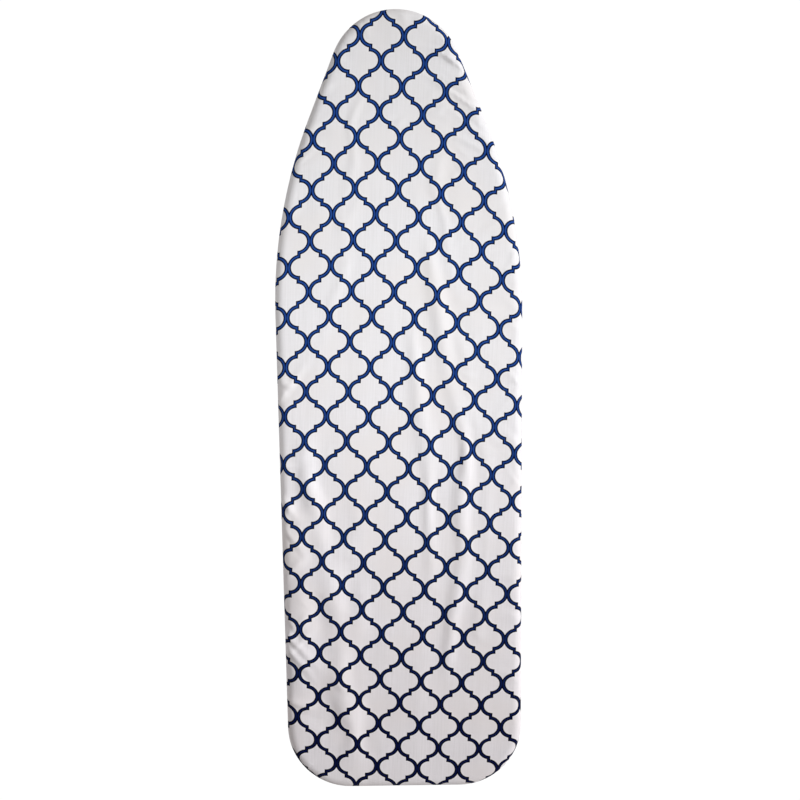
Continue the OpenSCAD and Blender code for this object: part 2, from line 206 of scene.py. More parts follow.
def joined(tubes):
    """One list of vertices and one of faces from several."""
    verts, faces = [], []
    for tube, quads in tubes:
        faces += [tuple(v + len(verts) for v in quad) for quad in quads]
        verts += tube
    return verts, faces


def bridge(ring, following):
    """Quads between two closed rings of vertices."""
    around = len(ring)
    return [
        (ring[i], ring[(i + 1) % around], following[(i + 1) % around], following[i]) for i in range(around)
    ]


def lay_flat(piece, along, across):
    """Stores each vertex's place on the flat cloth, in metres, for the materials."""
    layer = piece.data.uv_layers.new(name="cloth")
    corners = np.empty(len(piece.data.loops), int)
    piece.data.loops.foreach_get("vertex_index", corners)
    layer.data.foreach_set("uv", np.column_stack([along[corners], across[corners]]).ravel())


def fix_normals(piece):
    """Turns every face outwards."""
    mesh = bmesh.new()
    mesh.from_mesh(piece.data)
    bmesh.ops.recalc_face_normals(mesh, faces=mesh.faces)
    mesh.to_mesh(piece.data)
    mesh.free()


def closed_tube(name, verts, sides):
    """A piece from rings of vertices, row by row, with a flat face over each end."""
    rows = len(verts) // sides
    faces = grid_faces(rows, sides, closed=True)
    faces.append(tuple(range(sides)))
    faces.append(tuple(range((rows - 1) * sides, rows * sides)))
    piece = new_object(name, verts, faces)
    fix_normals(piece)
    return piece


# -------------------- materials

class Nodes:
    """Short ways to add shader nodes. An argument may be a number, a colour or another node's socket."""

    def __init__(self, name):
        self.material = bpy.data.materials.new(name)
        self.material.use_nodes = True
        self.tree = self.material.node_tree
        self.shader = self.tree.nodes["Principled BSDF"]

    def put(self, socket, value):
        if isinstance(value, bpy.types.NodeSocket):
            self.tree.links.new(value, socket)
        elif value is not None:
            socket.default_value = value

    def add(self, kind, inputs=(), output=0, **settings):
        node = self.tree.nodes.new("ShaderNode" + kind)
        for key, value in settings.items():
            setattr(node, key, value)
        for key, value in (inputs.items() if isinstance(inputs, dict) else enumerate(inputs)):
            self.put(node.inputs[key], value)
        return node.outputs[output]

    def math(self, operation, *values):
        return self.add("Math", values, operation=operation)

    def step(self, value, low, high):
        """0 at low, 1 at high, smooth between. low may be above high."""
        return self.add("MapRange", {"Value": value, "From Min": low, "From Max": high},
                        interpolation_type="SMOOTHSTEP")

    def mix(self, share, first, second):
        return self.add("Mix", {0: share, 6: first, 7: second}, output=2, data_type="RGBA")

    def noise(self, vector, scale, detail=3.0, stretch=None):
        if stretch is not None:
            vector = self.add("VectorMath", {0: vector, 1: stretch}, operation="MULTIPLY")
        return self.add("TexNoise", {"Vector": vector, "Scale": scale, "Detail": detail})

    def place(self):
        return self.add("TexCoord", output=3)

    def worn_edges(self, radius):
        """Normals that turn a little at edges, as on anything cast, bent or painted."""
        return self.add("Bevel", {"Radius": radius}, samples=4)

    def bump(self, height, distance, strength=1.0, normal=None):
        return self.add("Bump", {"Strength": strength, "Distance": distance, "Height": height,
                                 "Normal": normal})

    def finish(self, colour, roughness, normal=None, **fixed):
        self.put(self.shader.inputs["Base Color"], colour)
        self.put(self.shader.inputs["Roughness"], roughness)
        self.put(self.shader.inputs["Normal"], normal)
        for key, value in fixed.items():
            self.shader.inputs[key.replace("_", " ").title().replace("Ior", "IOR")].default_value = value
        return self.material


def srgb(red, green, blue):
    """A linear colour from 8-bit display values."""
    def linear(v):
        v /= 255
        return v / 12.92 if v <= 0.04045 else ((v + 0.055) / 1.055) ** 2.4
    return (linear(red), linear(green), linear(blue), 1.0)


# The print: an ogee trellis. Its cells sit on a lattice of these half repeats.
PRINT_ACROSS = 33.0 * MM
PRINT_ALONG = 39.1 * MM
LOBE_R = 16.7 * MM
LOBE_GAP = 1.7 * MM                     # from the middle of a lobe's line to the cell's edge
STROKE = 3.25 * MM                      # half the width of a line
STEP_HALF = 2.75 * MM                   # half the width of the square step between two lobes


def trellis(n, along, across):
    """The signed distance to the printed line's edge, below 0 in the ink."""
    x = n.math("PINGPONG", across, PRINT_ACROSS)
    y = n.math("PINGPONG", along, PRINT_ALONG)

    def quarter(from_x, from_y, limit):
        """One lobe: a quarter circle that ends square."""
        radius = n.math("SQRT", n.math("ADD", n.math("MULTIPLY", from_x, from_x),
                                       n.math("MULTIPLY", from_y, from_y)))
        line = n.math("SUBTRACT", n.math("ABSOLUTE", n.math("SUBTRACT", radius, LOBE_R)), STROKE)
        return n.math("MAXIMUM", line, limit)

    first_x = PRINT_ACROSS - LOBE_GAP - LOBE_R
    second_x = LOBE_GAP + LOBE_R
    first = quarter(n.math("MAXIMUM", n.math("SUBTRACT", x, first_x), 0.0), y,
                    n.math("SUBTRACT", first_x, x))
    second = quarter(n.math("MAXIMUM", n.math("SUBTRACT", second_x, x), 0.0),
                     n.math("SUBTRACT", PRINT_ALONG, y),
                     n.math("SUBTRACT", x, second_x))
    half_step = PRINT_ALONG / 2 - LOBE_R + STROKE
    off_x = n.math("ABSOLUTE", n.math("SUBTRACT", x, PRINT_ACROSS / 2))
    off_y = n.math("ABSOLUTE", n.math("SUBTRACT", y, PRINT_ALONG / 2))
    step = n.math("MAXIMUM", n.math("SUBTRACT", off_x, STEP_HALF), n.math("SUBTRACT", off_y, half_step))
    return n.math("MINIMUM", n.math("MINIMUM", first, second), step)


def cloth_coordinates(n):
    """Distances along and across the flat cloth, in metres."""
    split = n.tree.nodes.new("ShaderNodeSeparateXYZ")
    flat = n.add("UVMap", uv_map="cloth")
    n.put(split.inputs[0], flat)
    return flat, split.outputs[0], split.outputs[1]


def plain_weave(n, along, across, pitch):
    """Height of a plain weave: warp and weft threads over and under each other."""
    warp = n.math("SINE", n.math("MULTIPLY", along, 2 * math.pi / pitch))
    weft = n.math("SINE", n.math("MULTIPLY", across, 2 * math.pi / pitch))
    return n.math("MULTIPLY", warp, weft)


def printed_cotton():
    """White cotton with the print in two blues. Painted shade makes both blues a little darker and the white
    a little warmer towards the tail.
    """
    n = Nodes("printed_cotton")
    flat, along, across = cloth_coordinates(n)
    wobble = n.noise(flat, 60, 2)
    shift = n.math("MULTIPLY", n.math("SUBTRACT", wobble, 0.5), 0.5 * MM)
    distance = n.math("ADD", trellis(n, along, across), shift)
    ink = n.step(distance, 0.2 * MM, -0.3 * MM)
    core = n.step(distance, -1.6 * MM, -2.45 * MM)
    streaks = n.noise(flat, 1.0, 4, (14, 420, 1))
    cross_streaks = n.noise(flat, 1.0, 3, (380, 30, 1))
    blotches = n.noise(flat, 9, 2)
    threads = n.math("ADD", n.math("MULTIPLY", streaks, 0.78), n.math("MULTIPLY", cross_streaks, 0.22))
    # Painted shade: towards the tail the white takes a faint warm tint, both blues darken and the lighter
    # core patches die out.
    tail_painted_shade = n.step(along, 0.25, -0.62)
    white = n.mix(n.step(threads, 0.30, 0.70), srgb(234, 233, 235), srgb(242, 241, 244))
    white = n.mix(n.step(blotches, 0.35, 0.75), white, srgb(238, 235, 235))
    white = n.add("Mix", {0: tail_painted_shade, 6: white, 7: srgb(255, 251, 252)}, output=2, data_type="RGBA",
                  blend_type="MULTIPLY")
    edge_blue = n.mix(tail_painted_shade, srgb(0, 6, 42), srgb(0, 0, 12))
    core_blue = n.mix(tail_painted_shade, srgb(31, 70, 146), srgb(3, 15, 63))
    faded = n.math("MULTIPLY", n.step(threads, 0.45, 0.8), n.math("SUBTRACT", 1.0, tail_painted_shade))
    core_blue = n.mix(faded, core_blue, srgb(50, 90, 162))
    colour = n.mix(ink, white, n.mix(core, edge_blue, core_blue))
    height = n.math("ADD", n.math("MULTIPLY", plain_weave(n, along, across, 0.55 * MM), 0.22),
                    n.math("MULTIPLY", threads, 0.9))
    normal = n.bump(height, 0.12 * MM, 0.6)
    roughness = n.add("MapRange", {"Value": threads, "To Min": 0.78, "To Max": 0.92})
    return n.finish(colour, roughness, normal, sheen_weight=0.02, sheen_roughness=0.5,
                    specular_ior_level=0.06)


def plain_tape(name, colour, darker, rib):
    """Woven tape or elastic, with ribs across it."""
    n = Nodes(name)
    flat, along, across = cloth_coordinates(n)
    ribs = n.math("SINE", n.math("MULTIPLY", along, 2 * math.pi / rib))
    fuzz = n.noise(n.place(), 900, 2)
    # Painted shade: the ribs' valleys take the darker colour and their tops the lighter one, broken up by
    # random fuzz.
    shade = n.math("ADD", n.math("MULTIPLY", ribs, 0.3), fuzz)
    colour = n.mix(n.step(shade, 0.2, 0.9), darker, colour)
    height = n.math("ADD", ribs, n.math("MULTIPLY", plain_weave(n, along, across, 0.8 * MM), 0.5))
    return n.finish(colour, 0.85, n.bump(height, 0.12 * MM), sheen_weight=0.1, specular_ior_level=0.25)


def felt():
    """Needled felt of mixed fibres."""
    n = Nodes("needled_felt")
    place = n.place()
    fibres = n.noise(place, 700, 4, (1.0, 0.35, 1.0))
    tufts = n.noise(place, 160, 3)
    flecks = n.noise(place, 1500, 1)
    colour = n.mix(n.step(tufts, 0.3, 0.7), srgb(196, 192, 182), srgb(222, 219, 211))
    colour = n.mix(n.step(flecks, 0.66, 0.74), colour, srgb(120, 124, 138))
    height = n.math("ADD", fibres, n.math("MULTIPLY", tufts, 1.5))
    return n.finish(colour, 0.95, n.bump(height, 0.6 * MM), sheen_weight=0.3, specular_ior_level=0.2)


def paint(name, colour, light, grain=900, scuffs=0.35):
    """Powder coat: fine orange peel, a little dust and some scuffs."""
    n = Nodes(name)
    place = n.place()
    peel = n.noise(place, grain, 2)
    cloud = n.noise(place, 14, 4)
    scratch = n.noise(place, 40, 6, (1.0, 0.2, 1.0))
    worn = n.math("MULTIPLY", n.step(scratch, 0.66, 0.72), scuffs)
    colour = n.mix(n.step(cloud, 0.3, 0.7), colour, light)
    colour = n.mix(worn, colour, srgb(214, 214, 212))
    rough = n.add("MapRange", {"Value": n.math("ADD", cloud, n.math("MULTIPLY", worn, 0.6)),
                               "From Min": 0.3, "From Max": 1.0, "To Min": 0.32, "To Max": 0.55})
    normal = n.bump(peel, 0.02 * MM, 0.5, n.worn_edges(0.8 * MM))
    return n.finish(colour, rough, normal, coat_weight=0.1, coat_roughness=0.3)


def metal(name, colour, dark, rough, brushed=(1.0, 1.0, 1.0), spangle=0.0):
    """Bare or plated metal with a drawn or brushed grain."""
    n = Nodes(name)
    place = n.place()
    grain = n.noise(place, 500, 3, brushed)
    cloud = n.noise(place, 60, 3)
    shade = n.math("ADD", n.math("MULTIPLY", grain, 0.5), n.math("MULTIPLY", cloud, 0.5))
    colour = n.mix(n.step(shade, 0.35, 0.65), dark, colour)
    if spangle:
        flakes = n.add("TexVoronoi", {"Vector": place, "Scale": 180.0}, output=1)
        tint = n.math("MULTIPLY", n.add("RGBToBW", (flakes,)), spangle)
        colour = n.mix(tint, colour, srgb(232, 234, 236))
    roughness = n.add("MapRange", {"Value": shade, "To Min": rough - 0.1, "To Max": rough + 0.12})
    normal = n.bump(grain, 0.04 * MM, 0.5, n.worn_edges(0.5 * MM))
    return n.finish(colour, roughness, normal, metallic=1.0)


def moulded(name, colour, light, rough, grain=1100, depth=0.08):
    """Moulded plastic or rubber with a fine texture and a little dust."""
    n = Nodes(name)
    place = n.place()
    texture = n.noise(place, grain, 2)
    dust = n.noise(place, 24, 5)
    colour = n.mix(n.step(dust, 0.45, 0.8), colour, light)
    roughness = n.add("MapRange", {"Value": dust, "To Min": rough - 0.06, "To Max": rough + 0.1})
    normal = n.bump(texture, depth * MM, 0.8, n.worn_edges(1.0 * MM))
    return n.finish(colour, roughness, normal, specular_ior_level=0.4)


MATERIALS = {
    "cover_cloth": printed_cotton(),
    # Each tape's second colour is the painted shade in its rib valleys.
    "binding_tape": plain_tape("cotton_tape", srgb(236, 235, 233), srgb(212, 210, 207), 0.9 * MM),
    "elastic": plain_tape("braided_elastic", srgb(238, 232, 216), srgb(205, 198, 182), 1.4 * MM),
    "felt": felt(),
    "steel_plate": paint("plate_coat", srgb(172, 175, 179), srgb(186, 189, 193)),
    "leg_paint": paint("leg_coat", srgb(150, 154, 160), srgb(166, 170, 176)),
    "zinc": metal("zinc_plate", srgb(196, 199, 203), srgb(158, 163, 170), 0.36, spangle=0.35),
    "spring_clip": metal("black_spring_steel", srgb(62, 62, 65), srgb(38, 38, 41), 0.42),
    "drawn_steel": metal("drawn_steel", srgb(214, 215, 217), srgb(186, 188, 192), 0.24, (0.04, 1.0, 1.0)),
    "spring_wire": metal("spring_wire", srgb(190, 191, 194), srgb(140, 142, 148), 0.3),
    "cap_rubber": moulded("cap_rubber", srgb(36, 37, 39), srgb(58, 59, 60), 0.72, 900, 0.12),
    "plug_plastic": moulded("plug_plastic", srgb(34, 35, 38), srgb(50, 51, 53), 0.5),
    "nylon": moulded("natural_nylon", srgb(222, 221, 212), srgb(232, 231, 225), 0.45, 700, 0.05),
    "carriage_plastic": moulded("filled_nylon", srgb(52, 55, 60), srgb(70, 73, 77), 0.55, 1300, 0.1),
    "grip_plastic": moulded("grip_plastic", srgb(26, 42, 92), srgb(38, 56, 108), 0.4, 1000, 0.07),
}


def dress(piece, slot, body):
    """Gives a piece the material for a slot, and its body."""
    piece.data.materials.clear()
    piece.data.materials.append(MATERIALS[slot])
    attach(piece, body)


for part in frame["record"]["subparts"]:
    node = frame["nodes"][part["node"]]
    for place in node.material_slots:
        place.material = MATERIALS[part["material_slot"]]


# -------------------- camera, lights and floor

CAMERA_AWAY = 2.3
CAMERA_TILT = math.radians(6.5)         # the camera stands a little to the nose's side of straight above
CAMERA_ROLL = math.radians(0.77)
CAMERA_LENS = 66.3
AIM = Vector((0.015, 0, TOP))
SKY_LIGHT = 0.17                        # overhead
KEY_LIGHT = 2.22
SHOULDER_LIGHT = 2.9
KEY_COLOUR = (0.98, 0.99, 1.0)
SKY_COLOUR = (1.0, 0.965, 0.935, 1.0)
FLOOR_GLOW = 0.99                       # near the board, and then far from it
FLOOR_FAR_GLOW = 0.495
FLOOR_BRIGHT_R = 1.3
FLOOR_DIM_R = 4.0
FLOOR_HALF = 40.0
HORIZON_LIGHT = 0.56
HORIZON_TOP, SKY_START = 0.25, 0.45     # heights on the unit sphere between which it falls to SKY_LIGHT
KEY_FROM = (0.35, -2.0, 1.22)
KEY_SOFTNESS = math.radians(10)
SHOULDER_AT = (0.12, 0, TOP)
SHOULDER_FROM = (0.12, -0.06, TOP + 0.8)
SHOULDER_SIZE = 0.5


def set_camera():
    """Looks down on the top from just off straight above, with the nose up."""
    data = bpy.data.cameras.new("camera")
    data.lens = CAMERA_LENS
    data.sensor_width = 36
    data.clip_end = 60
    camera = bpy.data.objects.new("camera", data)
    bpy.context.collection.objects.link(camera)
    back = Vector((math.sin(CAMERA_TILT), 0, math.cos(CAMERA_TILT)))
    camera.location = AIM + back * CAMERA_AWAY
    up = Vector((math.cos(CAMERA_TILT), 0, -math.sin(CAMERA_TILT)))
    right = Vector((0, -1, 0))
    turned_up = up * math.cos(CAMERA_ROLL) + right * math.sin(CAMERA_ROLL)
    turned_right = turned_up.cross(back)
    rotation = Matrix((turned_right, turned_up, back)).transposed()
    camera.rotation_euler = rotation.to_euler()
    bpy.context.scene.camera = camera


def area_light(name, place, aim, size, power):
    """A round lamp at a place, turned to its aim. The camera doesn't see it."""
    data = bpy.data.lights.new(name, "AREA")
    data.shape = "DISK"
    data.size = size
    data.energy = power
    light = bpy.data.objects.new(name, data)
    light.location = place
    light.rotation_euler = (Vector(aim) - Vector(place)).to_track_quat("-Z", "Y").to_euler()
    light.visible_camera = False
    bpy.context.collection.objects.link(light)


def sun_light(name, place, aim, strength, softness, colour):
    """Sunlight from a place's direction. The softness is the angle that the sun takes up."""
    data = bpy.data.lights.new(name, "SUN")
    data.energy = strength
    data.angle = softness
    data.color = colour
    light = bpy.data.objects.new(name, data)
    light.rotation_euler = (Vector(aim) - Vector(place)).to_track_quat("-Z", "Y").to_euler()
    bpy.context.collection.objects.link(light)


def set_stage():
    """A white sweep: a pale sky, a low sun on the -Y side, and a floor that glows white near the board."""
    world = bpy.data.worlds.new("studio")
    bpy.context.scene.world = world
    world.use_nodes = True
    tree = world.node_tree
    split = tree.nodes.new("ShaderNodeSeparateXYZ")
    tree.links.new(tree.nodes.new("ShaderNodeTexCoord").outputs["Generated"], split.inputs[0])
    fall = tree.nodes.new("ShaderNodeMapRange")
    fall.interpolation_type = "SMOOTHSTEP"
    fall.inputs["From Min"].default_value = HORIZON_TOP
    fall.inputs["From Max"].default_value = SKY_START
    fall.inputs["To Min"].default_value = HORIZON_LIGHT
    fall.inputs["To Max"].default_value = SKY_LIGHT
    tree.links.new(split.outputs[2], fall.inputs["Value"])
    tree.links.new(fall.outputs[0], tree.nodes["Background"].inputs[1])
    tree.nodes["Background"].inputs[0].default_value = SKY_COLOUR
    bpy.context.scene.view_settings.view_transform = "Standard"
    sun_light("key", KEY_FROM, (0, 0, 0), KEY_LIGHT, KEY_SOFTNESS, KEY_COLOUR)
    area_light("shoulder", SHOULDER_FROM, SHOULDER_AT, SHOULDER_SIZE, SHOULDER_LIGHT)
    half = FLOOR_HALF
    floor = new_object("floor", [(-half, -half, 0), (half, -half, 0), (half, half, 0), (-half, half, 0)],
                       [(0, 1, 2, 3)], False)
    n = Nodes("floor")
    away = n.add("VectorMath", (n.place(),), 1, operation="LENGTH")
    far = n.step(away, FLOOR_BRIGHT_R, FLOOR_DIM_R)
    glow = n.math("ADD", n.math("MULTIPLY", far, FLOOR_FAR_GLOW - FLOOR_GLOW), FLOOR_GLOW)
    n.put(n.shader.inputs["Emission Strength"], glow)
    n.put(n.shader.inputs["Emission Color"], n.mix(far, WHITE, SKY_COLOUR))
    n.finish(srgb(60, 60, 60), 0.9)
    floor.data.materials.append(n.material)


set_camera()
set_stage()


# -------------------- the cover

def top_patch(rows, columns):
    """A grid over the flat of the top, and for each point on its rim the distance round the edge."""
    nose = np.linspace(NOSE_PATCH, -NOSE_PATCH, columns)
    tail_reach = np.linspace(HALF_LENGTH - TAIL_PATCH, TAIL_PATCH - HALF_LENGTH, columns)
    tail = np.where(tail_reach >= 0, HALF_LENGTH - tail_reach, -HALF_LENGTH - tail_reach)
    side = np.linspace(NOSE_PATCH, TAIL_PATCH, rows)

    def inner(run):
        edge = edge_at(run)
        return edge[:, :2] - edge[:, 2:] * EDGE_ROUND

    first, last = inner(nose), inner(tail)
    left, right = inner(side), inner(-side)
    u = np.linspace(0, 1, rows)[:, None, None]
    v = np.linspace(0, 1, columns)[None, :, None]
    grid = ((1 - u) * first[None] + u * last[None] + (1 - v) * left[:, None] + v * right[:, None]
            - (1 - u) * (1 - v) * first[0] - (1 - u) * v * first[-1]
            - u * (1 - v) * last[0] - u * v * last[-1])
    loop = (
        [(0, c, nose[c]) for c in range(columns - 1)]
        + [(r, columns - 1, -side[r]) for r in range(rows - 1)]
        + [(rows - 1, c, tail[c]) for c in range(columns - 1, 0, -1)]
        + [(r, 0, side[r]) for r in range(rows - 1, 0, -1)]
    )
    return grid, loop


ROUND_STEPS, SIDE_STEPS, TURN_STEPS, HEM_STEPS = 8, 4, 5, 12


def section():
    """The cover's section beyond the flat of the top: distance out from the edge, height, and a
    share from 0 to 1 of the way in under the rim."""
    points = []
    for k in range(1, ROUND_STEPS + 1):
        a = math.pi / 2 * k / ROUND_STEPS
        points.append((-EDGE_ROUND * (1 - math.sin(a)), TOP - EDGE_DROP * (1 - math.cos(a)), 0.0))
    side_end = UNDER + TURN_R
    side_start = TOP - EDGE_DROP
    for k in range(1, SIDE_STEPS + 1):
        points.append((0.0, side_start + (side_end - side_start) * k / SIDE_STEPS, 0.0))
    for k in range(1, TURN_STEPS + 1):
        a = math.pi / 2 * k / TURN_STEPS
        points.append((-TURN_R * (1 - math.cos(a)), UNDER + TURN_R * (1 - math.sin(a)), 0.0))
    for k in range(1, HEM_STEPS + 1):
        share = k / HEM_STEPS
        points.append((-TURN_R - (HEM_REACH - TURN_R) * share, UNDER, share))
    return points


def print_place(x, y):
    """Where on the print a point of the cover lies: the cloth is a little askew and uneven on the board."""
    sx, sy = x / (LENGTH / 2), y / HALF_WIDTH
    along = x + MM * (-25 - 4 * sx - 14 * sy - 11 * sx**2 + 17 * sx**3 + (9 + 19 * sx) * sy**2)
    across = y + MM * (17 + 31.5 * sx - 3 * sx * sy)
    return along, across


def build_cover(rows, columns):
    """The cover as one layer: rows of x, y, z, with the flat pattern's x, y and each ring's run and share."""
    grid, loop = top_patch(rows, columns)
    flat = grid.reshape(-1, 2)
    points = [np.column_stack([flat, np.full(len(flat), TOP)])]
    pattern = [flat]
    under = [np.zeros(len(flat))]
    runs = np.array([run for _, _, run in loop])
    edge = edge_at(runs)
    travelled = 0.0
    before = (-EDGE_ROUND, TOP)
    for out, z, share in section():
        travelled += math.hypot(out - before[0], z - before[1])
        before = (out, z)
        ring = edge[:, :2] + edge[:, 2:] * out
        points.append(np.column_stack([ring, np.full(len(ring), z)]))
        pattern.append(edge[:, :2] + edge[:, 2:] * (travelled - EDGE_ROUND))
        under.append(np.full(len(ring), share))
    faces = [face[::-1] for face in grid_faces(rows, columns)]
    around = len(loop)
    last_ring = [r * columns + c for r, c, _ in loop]
    for k in range(len(section())):
        ring = [len(flat) + k * around + i for i in range(around)]
        faces += bridge(last_ring, ring)
        last_ring = ring
    return {
        "points": np.concatenate(points), "pattern": np.concatenate(pattern),
        "under": np.concatenate(under), "runs": runs, "top_count": len(flat), "faces": faces,
    }


def ridge(x, y, start, end, width, height, wander, seed):
    """A long soft fold from start to end that wanders sideways and fades at its ends."""
    (x0, y0), (x1, y1) = start, end
    t = np.clip((x - x0) / (x1 - x0), -0.2, 1.2)
    middle = y0 + (y1 - y0) * t + wander * ripple(t * 4 + 7, t * 0 + seed, seed)
    off = (y - middle) / (width * (1 + 0.35 * ripple(t * 5, t * 0 + 3, seed + 1)))
    fade = smooth(-0.05, 0.18, t) * smooth(1.05, 0.8, t)
    swell = 0.75 + 0.4 * ripple(t * 6, t * 0 + 9, seed + 2)
    return height * fade * swell * (1.3 * np.exp(-off**2) - 0.55 * np.exp(-(off / 2.1)**2))


# Long folds: start, end, width and height. The first ones run down the -Y half.
FOLDS = [
    ((0.26, -0.052), (-0.14, -0.108), 0.0115, 5.0 * MM),
    ((-0.04, -0.112), (-0.44, -0.070), 0.0135, 5.6 * MM),
    ((0.13, -0.024), (-0.30, -0.050), 0.0115, 4.0 * MM),
    ((0.14, -0.092), (-0.10, -0.126), 0.011, 2.2 * MM),
    ((-0.02, -0.142), (-0.40, -0.120), 0.014, 1.9 * MM),
    ((0.40, -0.060), (0.16, -0.090), 0.009, 1.5 * MM),
    ((0.50, 0.052), (0.26, 0.092), 0.008, 1.3 * MM),
    ((0.34, 0.062), (0.10, 0.118), 0.010, 1.2 * MM),
    ((-0.02, 0.152), (-0.34, 0.112), 0.019, 5.6 * MM),
    ((-0.30, 0.112), (-0.58, 0.080), 0.018, 5.0 * MM),
    ((-0.25, 0.070), (-0.50, 0.062), 0.013, 1.5 * MM),
    ((-0.40, -0.030), (-0.58, -0.010), 0.014, 1.3 * MM),
]


def edge_distances(x, y):
    """For each point, how far round the edge its nearest place is, and how far in from there it lies."""
    run = np.linspace(-HALF_LENGTH, HALF_LENGTH, 900)
    edge = edge_at(run)
    nearest = np.empty(len(x), int)
    inset = np.empty(len(x))
    for start in range(0, len(x), 4000):
        part = slice(start, start + 4000)
        gap = np.hypot(x[part, None] - edge[None, :, 0], y[part, None] - edge[None, :, 1])
        nearest[part] = gap.argmin(1)
        inset[part] = gap.min(1)
    return run[nearest], inset


# Where the edge puckers: from and to round the edge, how many, how tall, how much they slant as they run
# in, and how far in they reach. The -Y side is below 0.
PUCKERS = [
    (-0.12, 0.10, 7, 0.8 * MM, (-0.6, 0.6), 0.045),
    (-0.36, -0.12, 12, 2.3 * MM, (0.7, 1.9), 0.080),
    (-0.86, -0.36, 24, 1.4 * MM, (-1.4, 1.4), 0.055),
    (-1.20, -0.86, 9, 1.2 * MM, (-1.0, 1.0), 0.050),
    (0.12, 0.40, 9, 1.5 * MM, (-1.6, -0.3), 0.060),
    (0.62, 1.22, 17, 2.6 * MM, (-1.3, 1.3), 0.070),
    (1.24, 1.40, 3, 0.8 * MM, (-0.4, 0.4), 0.050),
]


def puckers(run, inset):
    """Short creases that start at the hem and fade on the flat, drawn up by the elastic."""
    rng = np.random.default_rng(41)
    height = np.zeros(len(run))
    for low, high, count, tall, slants, longest in PUCKERS:
        for place in np.sort(rng.uniform(low, high, count)):
            width = rng.uniform(0.0035, 0.0075)
            reach = rng.uniform(0.4 * longest, longest)
            slant = rng.uniform(*slants)
            off = (run - place - slant * inset) / (width * (1 + 14 * inset))
            crease = np.exp(-off**2) - 0.6 * np.exp(-(off - 1.5)**2)
            height += tall * rng.uniform(0.4, 1.0) * crease * smooth(reach, 0.3 * reach, inset)
    return height


# Where the short creases lie: x from and to, y from and to, how many, and how tall
CRINKLES = [
    ((-0.14, 0.16), (-0.165, -0.105), 16, 1.2 * MM),
    ((0.16, 0.46), (-0.150, -0.040), 16, 1.0 * MM),
    ((0.40, 0.56), (-0.070, 0.030), 8, 0.7 * MM),
    ((-0.50, -0.14), (-0.160, -0.060), 14, 0.6 * MM),
    ((-0.56, -0.20), (0.060, 0.160), 14, 0.9 * MM),
    ((0.10, 0.42), (0.050, 0.150), 7, 0.4 * MM),
]


def crinkles(x, y):
    """Short crossing creases in the slack of the -Y half, and a few elsewhere."""
    rng = np.random.default_rng(67)
    height = np.zeros(len(x))
    for (x0, x1), (y0, y1), count, tall in CRINKLES:
        for _ in range(count):
            middle_x, middle_y = rng.uniform(x0, x1), rng.uniform(y0, y1)
            turn = rng.uniform(0.5, 2.3)
            along = (x - middle_x) * math.cos(turn) + (y - middle_y) * math.sin(turn)
            off = (y - middle_y) * math.cos(turn) - (x - middle_x) * math.sin(turn)
            reach, width = rng.uniform(0.009, 0.018), rng.uniform(0.0028, 0.0048)
            off = (off + 6.0 * along**2) / width
            crease = np.exp(-off**2) - 0.7 * np.exp(-(off - 1.6)**2)
            height += tall * rng.uniform(0.5, 1.0) * crease * np.exp(-(along / reach)**2)
    return height


# The felt holds the cloth up: no hollow goes deeper than this, and it flattens over this much height
LOWEST = -0.65 * MM
SETTLE = 0.14 * MM

# Unevenness: how tall, how long and wide its features are, and its seed
DIMPLES = (3.4 * MM, 0.038, 0.032, 17)
DIMPLE_LIFT = 0.4
TAIL_WAVES = (0.6 * MM, 0.034, 0.050, 29)
SWELLS = (0.35 * MM, 0.075, 0.03, 3)
RUMPLES = (0.12 * MM, 0.028, 0.014, 5)
STRETCH_LINES = (0.05 * MM, 0.16, 0.0045, 7)
FOLD_WANDER = 0.008


def uneven(x, y, look, lift=0.0):
    """Random heights as one of the rows above says."""
    tall, length, width, seed = look
    return tall * (lift + ripple(x / length, y / width, seed))


def lifted(cover):
    """Heights added to the top: long folds, dimples, edge puckers and a faint unevenness all over."""
    x, y = cover["pattern"].T
    height = np.zeros(len(x))
    for k, (start, end, width, tall) in enumerate(FOLDS):
        height += ridge(x, y, start, end, width, tall, FOLD_WANDER, 11 + 3 * k)
    run, inset = edge_distances(x, y)
    height += puckers(run, inset) + crinkles(x, y)
    dimpled = smooth(0.04, 0.11, y) * smooth(-0.06, -0.20, x) * smooth(-0.60, -0.50, x)
    tail = smooth(-0.30, -0.52, x)
    height += dimpled * uneven(x, y, DIMPLES, DIMPLE_LIFT) + tail * uneven(x, y, TAIL_WAVES)
    height += uneven(x, y, SWELLS) + uneven(x, y, RUMPLES)
    height += uneven(x, y, STRETCH_LINES) * smooth(0.02, 0.05, inset)
    return LOWEST + SETTLE * np.logaddexp(0, (height - LOWEST) / SETTLE)


# The gathers down the side and under the rim
GATHER_PITCH = 0.017
FINE_PITCH = 0.009
GATHER_DEPTH = 0.6 * MM
HEM_DROP = 0.3 * MM                     # how far the gathers hang down at the turn
HEM_DROP_MORE = 3.2 * MM                # and how much more at the hem


